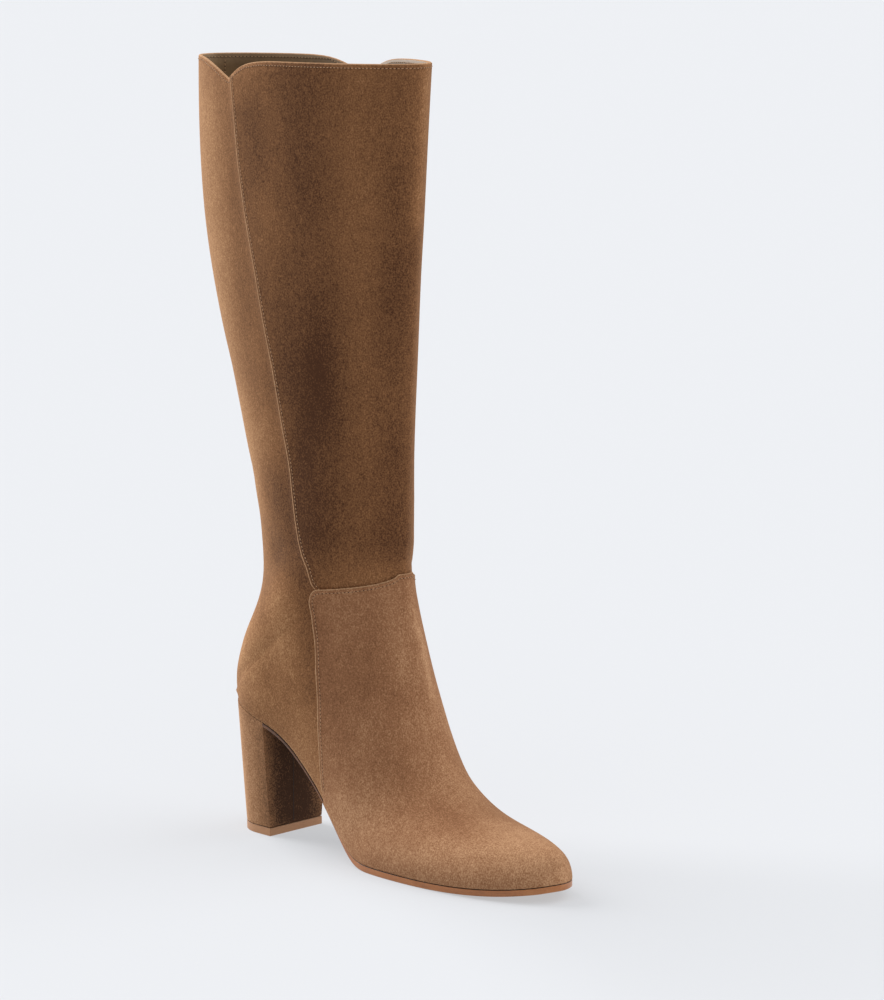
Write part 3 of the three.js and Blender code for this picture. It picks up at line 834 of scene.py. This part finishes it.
@dataclass
class Upper:
    """The shaft and the hidden foot of the upper: suede outside, leather inside."""

    stitch_inset: float = 2.2
    seam_inset: float = 1.9
    edge_width: float = 0.7
    edge_proud: float = 0.12
    rim_reach: float = 395.0
    feather_height: float = 82.0
    seam_foot: float = 112.0
    level_gap: float = 5.0
    seam_reach: float = 19.5
    lining_seam_y: float = 8.0
    lining_seam_end: float = 330.0
    counter_rounds: int = 40
    lining_gap: float = 1.0
    levels: int = 2
    row: StitchRow = field(default_factory=StitchRow)
    core: tuple[Point, ...] = (
        (32, 1, 440), (31, 1, 340), (35, 1, 280), (41, 1, 220), (45, 1, 170), (47, 2, 125),
        (44, 2, 92), (60, 2, 72), (85, 2, 52), (120, 1, 30), (160, 0, 19), (206, 0, 16),
    )
    folds: tuple[Stroke, ...] = (
        Stroke(-0.9, 9, ((-6, -20, 182), (8, -25, 176), (24, -28, 165))),
        Stroke(-0.7, 8, ((-9, -16, 202), (4, -23, 197), (18, -27, 190))),
        Stroke(0.7, 9, ((-8, -18, 192), (10, -25, 186), (30, -28, 176))),
        Stroke(-0.6, 9, ((-8, 16, 186), (10, 26, 178), (26, 30, 166))),
        Stroke(-0.6, 12, ((46, -26, 212), (62, -24, 250), (72, -24, 300))),
        Stroke(0.5, 14, ((20, -26, 230), (28, -30, 290), (30, -34, 350))),
        Stroke(-0.5, 12, ((-20, -20, 262), (-2, -27, 256), (18, -29, 246))),
        Stroke(-0.6, 10, ((14, -24, 150), (22, -26, 120), (26, -30, 98))),
        Stroke(0.6, 11, ((-6, -22, 118), (4, -27, 96), (12, -29, 84))),
        Stroke(-0.5, 13, ((60, 26, 220), (72, 25, 262), (84, 25, 310))),
    )
    # Painted light and shade: lighter on the back panel, the counter and a thin line along the shin's ridge;
    # darker over the front panel, beside the side seam and beside the vamp's edge.
    painted_light_and_shade: tuple[Stroke, ...] = (
        Stroke(-0.66, 26, ((60, -31, 425), (60, -30, 340), (58, -27, 250), (52, -26, 180))),
        Stroke(-0.6, 14, ((106, -8, 430), (106, -7, 345), (101, -4, 300), (95, 0, 255), (91, 4, 175))),
        Stroke(-0.25, 22, ((70, -24, 260), (72, -20, 180))),
        Stroke(0.28, 4, ((117, 1, 430), (113, 0, 350))),
        Stroke(0.36, 15, ((-50, -8, 428), (-48, -8, 350), (-30, -8, 270), (-12, -8, 200))),
        Stroke(0.3, 14, ((-30, -28, 400), (-26, -28, 330), (-12, -26, 260), (2, -24, 200))),
        Stroke(-0.15, 7, ((4, -34, 400), (4, -32, 330), (10, -29, 250), (16, -27, 190))),
        Stroke(-0.45, 15, ((20, -35, 400), (22, -34, 340), (29, -32, 300), (34, -28, 258))),
        Stroke(0.35, 20, ((-14, -22, 130), (-16, -24, 104))),
        Stroke(0.35, 13, ((20, -28, 112), (30, -28, 110), (28, -28, 134))),
        Stroke(-0.35, 8, ((53, -26, 150), (54, -26, 112), (56, -27, 88))),
        Stroke(-0.35, 10, ((24, -27, 200), (26, -27, 160))),
        Stroke(-0.2, 14, ((40, -26, 190), (44, -26, 165))),
    )

    def build(self) -> None:
        """Makes the upper's skin, its stitches and its lining seam."""
        skin = Skin("upper")
        self.sort_faces(skin.bm)
        lips = self.lap_lines(skin.bm)
        rims = self.rim_lines(skin.bm)
        skin.flatten(2.6, 2.2, 146, 46)
        skin.sharpen(24, 0.55)
        skin.sharpen(40, 1, self.feather_height)
        obj = skin.refine("shaft", self.levels)
        self.shape(skin)
        skin.dress("suede_shaft", SHAFT_SUEDE, LINING_LEATHER, CUT_SUEDE_HIGHLIGHT)
        outer = surface(obj, Face.SUEDE)
        inner = surface(obj, Face.LINING)
        collar = [beside(outer, rims[0], self.stitch_inset, (0, 0, -1))]
        seams = [beside(outer, lip, self.seam_inset, (1, 0, 0)) for lip in lips]
        self.row.build("collar", "suede_shaft", outer, collar)
        self.row.build("side_seam", "suede_shaft", outer, seams)
        # The lap edges: paler cut suede with a painted highlight along each lip.
        edges = [ribbon(outer, lip, self.edge_width, self.edge_proud) for lip in lips]
        add_piece(joined(edges, "lap_edges"), CUT_SUEDE_HIGHLIGHT)
        inside = [beside(inner, rims[-1], self.stitch_inset, (0, 0, -1))]
        self.row.build("collar_inside", "suede_shaft", inner, [*inside, self.lining_seam(inner)])

    def sort_faces(self, bm: bmesh.types.BMesh) -> None:
        """Gives each face its kind: suede outside, lining inside, cut edge at the rim.

        Args:
            bm: The coarse skin.
        """
        centres = np.array([face.calc_center_median() for face in bm.faces]) / MM
        out = centres - nearest_on_line(self.core, centres)
        for face, arm, centre in zip(bm.faces, out, centres):
            face.material_index = Face.SUEDE.value
            if face.normal.dot(Vector(arm)) < 0:
                face.material_index = Face.LINING.value
            if face.normal.z > 0.55 and centre[2] > self.rim_reach:
                face.material_index = Face.CUT.value

    def lap_lines(self, bm: bmesh.types.BMesh) -> list[list[Vector]]:
        """Finds the edge of the front panel down each side seam.

        Args:
            bm: The coarse skin, with its faces sorted.

        Returns:
            The lateral and the medial line, from the collar down.
        """
        lips = []
        for side in Side:
            edges = [edge for edge in bm.edges if self.is_lip(edge, side)]
            corners = {vert for edge in edges for vert in edge.verts}
            lip: list[Vector] = []
            for co in sorted((vert.co.copy() for vert in corners), key=lambda co: -co.z):
                if lip and lip[-1].z - co.z < self.level_gap * MM:
                    lip[-1] = max(lip[-1], co, key=lambda place: place.x)
                else:
                    lip.append(co)
            lips.append(lip)
            ends = [tuple(round(c / MM) for c in lips[-1][k]) for k in (0, -1)]
            log.info("lap line: %d corners, %d mm, %s", len(corners), length(lips[-1]) / MM, ends)
        return lips

    def is_lip(self, edge: bmesh.types.BMEdge, side: Side) -> bool:
        """Tells whether an edge is the front panel's outer edge at a side seam.

        Args:
            edge: The edge.
            side: The side of the boot.

        Returns:
            Whether it stands out, with a hollow edge on the other side of the lap's step.
        """
        reach = min(vert.co.y * side.value for vert in edge.verts)
        kinds = [face.material_index for face in edge.link_faces]
        run = edge.verts[1].co - edge.verts[0].co
        low = min(vert.co.z for vert in edge.verts)
        if kinds != [Face.SUEDE.value] * 2 or reach < self.seam_reach * MM:
            return False
        if low < self.seam_foot * MM or abs(run.z) < 0.7 * run.length:
            return False
        step = min(edge.link_faces, key=lambda face: face.calc_center_median().x)
        others = [e for e in step.edges if not set(e.verts) & set(edge.verts)]
        hollow = any(other.calc_face_angle_signed(0) < math.radians(-1) for other in others)
        return hollow and edge.calc_face_angle_signed(0) > math.radians(5)

    def rim_lines(self, bm: bmesh.types.BMesh) -> list[list[Vector]]:
        """Finds the outer and the inner edge of the collar.

        Args:
            bm: The coarse skin, with its faces sorted.

        Returns:
            The two closed lines, the outer one first.
        """
        edges = []
        for edge in bm.edges:
            kinds = {face.material_index for face in edge.link_faces}
            if len(kinds) == 2 and Face.CUT.value in kinds:
                edges.append(edge)
        lines = chains(edges)
        log.info("rim lines: %s mm", [round(length(line) / MM) for line in lines])
        return lines[:2]

    def shape(self, skin: Skin) -> None:
        """Presses the folds into the fine skin and paints its light and shade: the listed strokes, with
        painted shade in the pressed troughs and painted highlight on the raised ridges.

        Args:
            skin: The skin.
        """
        outside = np.ones(len(skin.obj.data.vertices))
        for face in skin.obj.data.polygons:
            if face.material_index == Face.LINING.value:
                outside[list(face.vertices)] = 0
        counter = self.counter_share(skin)
        skin.relax(outside * counter, self.counter_rounds)
        places = skin.places()
        arms = places - nearest_on_line(self.core, places)
        reach = np.linalg.norm(arms, axis=1, keepdims=True)
        outward = arms / np.maximum(reach, 1)
        pressed = painted(self.folds, places)
        sunk = self.lining_gap * (1 - outside) * counter
        skin.move(places + outward * (pressed - sunk)[:, None])
        # Painted light and shade: the strokes, with painted shade in the troughs and a painted highlight on
        # the ridges of the folds.
        skin.paint(painted(self.painted_light_and_shade, places) + 0.35 * np.clip(pressed, -1, 1))

    def counter_share(self, skin: Skin) -> np.ndarray:
        """Works out where the counter is: above the heel and behind the vamp.

        Args:
            skin: The fine skin.

        Returns:
            A share from 0 to 1 for each vertex.
        """
        places = skin.places()
        above = np.clip((places[:, 2] - seat_height(places[:, 0]) - 1.5) / 4, 0, 1)
        below = np.clip((162 - places[:, 2]) / 16, 0, 1)
        behind = np.clip((47 - places[:, 0]) / 6, 0, 1)
        return above * below * behind

    def lining_seam(self, inner: BVHTree) -> list[Vector]:
        """Runs the lining's seam down the inside, a little off the middle of the back.

        Args:
            inner: The lining's surface.

        Returns:
            The seam's line.
        """
        found = []
        for height in np.arange(427, self.lining_seam_end, -4):
            start = Vector((30, self.lining_seam_y, height)) * MM
            spot = inner.ray_cast(start, Vector((-1, 0, 0)))[0]
            if spot is not None:
                found.append(spot)
        return found


def surface(obj: bpy.types.Object, kind: Face) -> BVHTree:
    """Collects the faces of one kind of a finished piece, for finding places on them.

    Args:
        obj: The piece.
        kind: The kind of face.

    Returns:
        The surface.
    """
    mesh = obj.data
    faces = [face.vertices[:] for face in mesh.polygons if face.material_index == kind.value]
    return BVHTree.FromPolygons([vert.co for vert in mesh.vertices], faces)


@dataclass
class Vamp:
    """The suede panel over the foot, with its cut edge and the row of stitches inside it."""

    stitch_inset: float = 2.1
    edge_width: float = 0.7
    edge_proud: float = 0.12
    sole_margin: float = 36.0
    back_reach: float = 68.0
    top_reach: float = 138.0
    levels: int = 2
    row: StitchRow = field(default_factory=StitchRow)
    core: tuple[Point, ...] = (
        (60, 1, 200), (58, 2, 125), (66, 2, 84), (85, 2, 52), (120, 1, 30), (160, 0, 19),
        (206, 0, 16),
    )
    folds: tuple[Stroke, ...] = (
        Stroke(-0.5, 8, ((52, -28, 140), (56, -31, 112), (60, -34, 84))),
        Stroke(-0.45, 10, ((96, -18, 96), (104, -8, 92), (108, 2, 88))),
        Stroke(0.4, 9, ((74, -30, 118), (84, -31, 92), (92, -34, 62))),
        Stroke(-0.35, 10, ((118, 24, 52), (124, 12, 66), (128, 2, 64))),
    )
    # Painted light and shade: lighter along the instep's ridge with a narrow painted highlight, on the toe,
    # along the lower side and at the top edge; darker down the lateral side.
    painted_light_and_shade: tuple[Stroke, ...] = (
        Stroke(0.2, 10, ((94, 2, 150), (104, 2, 110), (122, 2, 74), (146, 2, 48), (180, 0, 36))),
        Stroke(0.36, 18, ((196, -4, 28), (214, 0, 18))),
        Stroke(-0.26, 13, ((62, -28, 124), (70, -30, 90), (92, -36, 50))),
        Stroke(0.45, 4, ((100, 10, 150), (104, 15, 114), (112, 14, 92))),
        Stroke(0.2, 14, ((104, -38, 22), (140, -34, 18), (176, -28, 18))),
        Stroke(0.18, 5, ((44, -28, 142), (60, -26, 148), (84, -16, 154))),
        Stroke(-0.14, 12, ((120, -20, 60), (150, -18, 36))),
    )

    def build(self) -> None:
        """Makes the vamp's skin and its stitches."""
        skin = Skin("vamp_panel")
        edge = self.sort_faces(skin.bm)
        skin.sharpen(38, 0.6)
        obj = skin.refine("vamp", self.levels)
        places = skin.places()
        arms = places - nearest_on_line(self.core, places)
        outward = arms / np.maximum(np.linalg.norm(arms, axis=1, keepdims=True), 1)
        pressed = painted(self.folds, places)
        skin.move(places + outward * pressed[:, None])
        # Painted light and shade: the strokes, with painted shade in the troughs and a painted highlight on
        # the ridges of the folds.
        skin.paint(painted(self.painted_light_and_shade, places) + 0.35 * np.clip(pressed, -1, 1))
        skin.dress("suede_vamp", VAMP_SUEDE, VAMP_SUEDE, CUT_SUEDE_HIGHLIGHT)
        outer = surface(obj, Face.SUEDE)
        row = beside(outer, edge, self.stitch_inset, (1, 0, -1))
        self.row.build("vamp", "suede_vamp", outer, [row])
        # The cut edge: paler cut suede with a painted highlight along it.
        cut = ribbon(outer, edge, self.edge_width, self.edge_proud)
        add_piece(joined([cut], "vamp_edge"), CUT_SUEDE_HIGHLIGHT)

    def sort_faces(self, bm: bmesh.types.BMesh) -> list[Vector]:
        """Gives each face its kind and finds the panel's cut edge on the outside.

        Args:
            bm: The coarse skin.

        Returns:
            The cut edge, from the sole over the instep and back to the sole.
        """
        centres = np.array([face.calc_center_median() for face in bm.faces]) / MM
        out = centres - nearest_on_line(self.core, centres)
        for face, arm in zip(bm.faces, out):
            outside = face.normal.dot(Vector(arm)) > 0
            face.material_index = Face.SUEDE.value if outside else Face.LINING.value
            if self.is_cut(face):
                face.material_index = Face.CUT.value
        edges = []
        for edge in bm.edges:
            kinds = {face.material_index for face in edge.link_faces}
            if kinds == {Face.SUEDE.value, Face.CUT.value}:
                edges.append(edge)
        lines = chains(edges)
        for line in lines[:4]:
            ends = [tuple(round(c / MM) for c in line[k]) for k in (0, len(line) // 2, -1)]
            log.info("vamp edge: %d mm, %d corners, %s", length(line) / MM, len(line), ends)
        return lines[0]

    def is_cut(self, face: bmesh.types.BMFace) -> bool:
        """Tells whether a face is part of the cut edge, which runs straight across the boot."""
        centre = face.calc_center_median() / MM
        level = abs(face.normal.y) < 0.012
        behind = centre.x < self.back_reach and centre.z > self.sole_margin
        return level and (behind or centre.z > self.top_reach)


@dataclass
class Sole:
    """The leather outsole with its stained edge, the heel and its top lift, and the sock."""

    bevel: float = 0.45
    waist_end: float = 86.0
    waist_fade: float = 34.0
    seam_top: float = 62.0
    seam_foot: float = 6.0
    seam_y: float = -2.0
    breast: float = 15.75
    # Painted light and shade: painted shade over the breast, and a lighter lateral back where the light
    # falls.
    heel_painted_light_and_shade: tuple[Stroke, ...] = (
        Stroke(-1.0, 12, ((17, -10, 60), (17, -10, 10))),
        Stroke(-1.0, 12, ((17, 8, 60), (17, 8, 10))),
        Stroke(0.45, 9, ((-12, -18, 60), (-12, -18, 8))),
        Stroke(0.3, 6, ((4, -23, 60), (4, -21, 8))),
    )

    def build(self) -> None:
        """Makes the outsole, the heel block with its breast seam, the lift and the sock."""
        self.outsole()
        self.heel()
        self.lift()
        self.sock()

    def eased(self, node: str, angle: float, width: float) -> Skin:
        """Copies a solid and eases its sharp edges with a small bevel.

        Args:
            node: The solid's name.
            angle: The angle in degrees past which an edge is sharp.
            width: The bevel's width, in millimetres.

        Returns:
            The eased skin.
        """
        skin = Skin(node)
        sharp = [e for e in skin.bm.edges if e.calc_face_angle(0) > math.radians(angle)]
        bmesh.ops.bevel(
            skin.bm,
            geom=sharp,
            offset=width * MM,
            affect="EDGES",
            segments=2,
            profile=0.5,
            material=-1,
            clamp_overlap=True,
        )
        skin.bm.normal_update()
        return skin

    def outsole(self) -> None:
        """Makes the outsole: stained edge with painted shade on the lip beside the upper and on the faces
        turned down, darker towards the waist, and a plain tread.
        """
        skin = self.eased("outsole", 50, self.bevel)
        for face in skin.bm.faces:
            face.material_index = 1 if face.normal.z < -0.75 else 0
        skin.sharpen(50, 0.4)
        skin.refine("sole", 2)
        normals = skin.normals()
        # Painted shade: dark on the lip turned up beside the upper, a little darker on the faces turned down;
        # the edge also darkens towards the waist.
        lip = np.clip((normals[:, 2] - 0.25) / 0.3, 0, 1)
        foot = np.clip((-normals[:, 2] - 0.3) / 0.4, 0, 1)
        waist = np.clip((self.waist_end - skin.places()[:, 0]) / self.waist_fade, 0, 1)
        skin.paint(-1.2 * lip - 0.25 * foot - 0.75 * waist)
        skin.dress("sole_leather", EDGE_LEATHER, TREAD_LEATHER)

    def heel(self) -> None:
        """Makes the covered heel block, with painted light and shade, and a thin dark strip of painted shade
        for the seam down its breast.
        """
        skin = self.eased("heel_block", 40, 0.7)
        skin.sharpen(60, 0.3)
        skin.refine("heel", 2)
        skin.paint(painted(self.heel_painted_light_and_shade, skin.places()))
        skin.dress("suede_heel", HEEL_SUEDE)
        # Painted shade: a thin dark strip standing for the shade in the groove of the breast seam.
        bm = bmesh.new()
        middle = Vector((self.breast + 0.02, self.seam_y, (self.seam_top + self.seam_foot) / 2))
        size = Vector((0.16, 0.5, self.seam_top - self.seam_foot))
        place = Matrix.LocRotScale(middle * MM, None, size * MM)
        bmesh.ops.create_cube(bm, size=1, matrix=place)
        bmesh.ops.bevel(
            bm, geom=bm.edges[:], offset=0.05 * MM, affect="EDGES", segments=2, profile=0.5,
            material=-1,
        )
        mesh = bpy.data.meshes.new("heel_breast_seam_shade")
        bm.to_mesh(mesh)
        bm.free()
        add_piece(mesh, RECESS_SHADE)

    def lift(self) -> None:
        """Makes the top lift with eased edges and a darker line where it meets the heel."""
        skin = self.eased("top_lift", 50, 0.35)
        skin.sharpen(50, 0.5)
        skin.refine("lift", 2)
        places = skin.places()
        skin.paint(-0.8 * np.clip((places[:, 2] - 4.1) / 0.4, 0, 1))
        skin.dress("lift_rubber", LIFT_RUBBER)

    def sock(self) -> None:
        """Makes the insole with its sock, seen through the collar."""
        skin = self.eased("insole", 50, 0.4)
        skin.sharpen(50, 0.4)
        skin.refine("sock", 2)
        places = skin.places()
        skin.paint(-0.2 + 0.2 * np.clip((places[:, 0] - 20) / 80, 0, 1))
        skin.dress("lining_leather", SOCK_LEATHER)


@dataclass
class Studio:
    """A plain pale floor, soft light from all round and the photograph's camera."""

    eye: Point = (1537.2, -1406.0, 555.0)
    look: Point = (-0.69624, 0.69624, -0.17468)
    lens: float = 137.16
    floor: float = 40.0
    pale: Colour = (0.24, 0.245, 0.254)
    glow: float = 0.467

    def build(self) -> None:
        """Makes the floor, the lights and the camera."""
        self.make_floor()
        self.make_sky()
        self.sun("left_softbox", (-1.0, -0.1, 0.7), 4.3, 46)
        self.sun("right_softbox", (0.75, 0.9, 0.8), 1.3, 70)
        self.sun("top_softbox", (0.35, -0.1, 1.0), 1.4, 90)
        data = bpy.data.cameras.new("photo_camera")
        data.sensor_fit = "VERTICAL"
        data.sensor_height = 36
        data.lens = self.lens
        data.clip_end = 200
        camera = bpy.data.objects.new("photo_camera", data)
        camera.location = Vector(self.eye) * MM
        camera.rotation_euler = Vector(self.look).to_track_quat("-Z", "Y").to_euler()
        bpy.context.scene.collection.objects.link(camera)
        bpy.context.scene.camera = camera
        bpy.context.scene.view_settings.view_transform = "Standard"

    def make_floor(self) -> None:
        """Makes the floor that the boot stands on."""
        bm = bmesh.new()
        bmesh.ops.create_grid(bm, x_segments=1, y_segments=1, size=self.floor)
        mesh = bpy.data.meshes.new("floor")
        bm.to_mesh(mesh)
        bm.free()
        graph = Graph("floor_paper", 0.9)
        graph.ramp(graph.noise(3, 2), [self.pale, tuple(0.995 * c for c in self.pale)])
        graph.shader.inputs["Specular IOR Level"].default_value = 0
        graph.shader.inputs["Emission Color"].default_value = (0.975, 0.99, 1.02, 1)
        graph.shader.inputs["Emission Strength"].default_value = self.glow
        mesh.materials.append(graph.material)
        floor = bpy.data.objects.new("floor", mesh)
        bpy.context.scene.collection.objects.link(floor)
        floor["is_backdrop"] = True

    def make_sky(self) -> None:
        """Makes the soft light that comes from all round."""
        world = bpy.data.worlds.new("studio")
        world.use_nodes = True
        back = world.node_tree.nodes["Background"]
        back.inputs["Color"].default_value = (0.92, 0.95, 1.0, 1)
        back.inputs["Strength"].default_value = 0.27
        bpy.context.scene.world = world

    def sun(self, name: str, towards: Point, strength: float, spread: float) -> None:
        """Adds a far soft light.

        Args:
            name: Its name.
            towards: The direction from the boot to the light.
            strength: Its strength.
            spread: How wide it is, in degrees.
        """
        data = bpy.data.lights.new(name, "SUN")
        data.energy = strength
        data.angle = math.radians(spread)
        lamp = bpy.data.objects.new(name, data)
        lamp.rotation_euler = (-Vector(towards)).to_track_quat("-Z", "Y").to_euler()
        bpy.context.scene.collection.objects.link(lamp)


def corners() -> list[list[float]]:
    """The lowest and the highest corner of what shows, as plain lists."""
    low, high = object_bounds()
    return [[float(c) for c in low], [float(c) for c in high]]


def main() -> None:
    """Builds the boot's pieces in order, then the studio."""
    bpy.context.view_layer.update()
    pieces: list[Callable[[], None]] = [
        Upper().build, Vamp().build, Sole().build, Studio().build,
    ]
    for piece in pieces:
        piece()


if __name__ == "__main__":
    main()
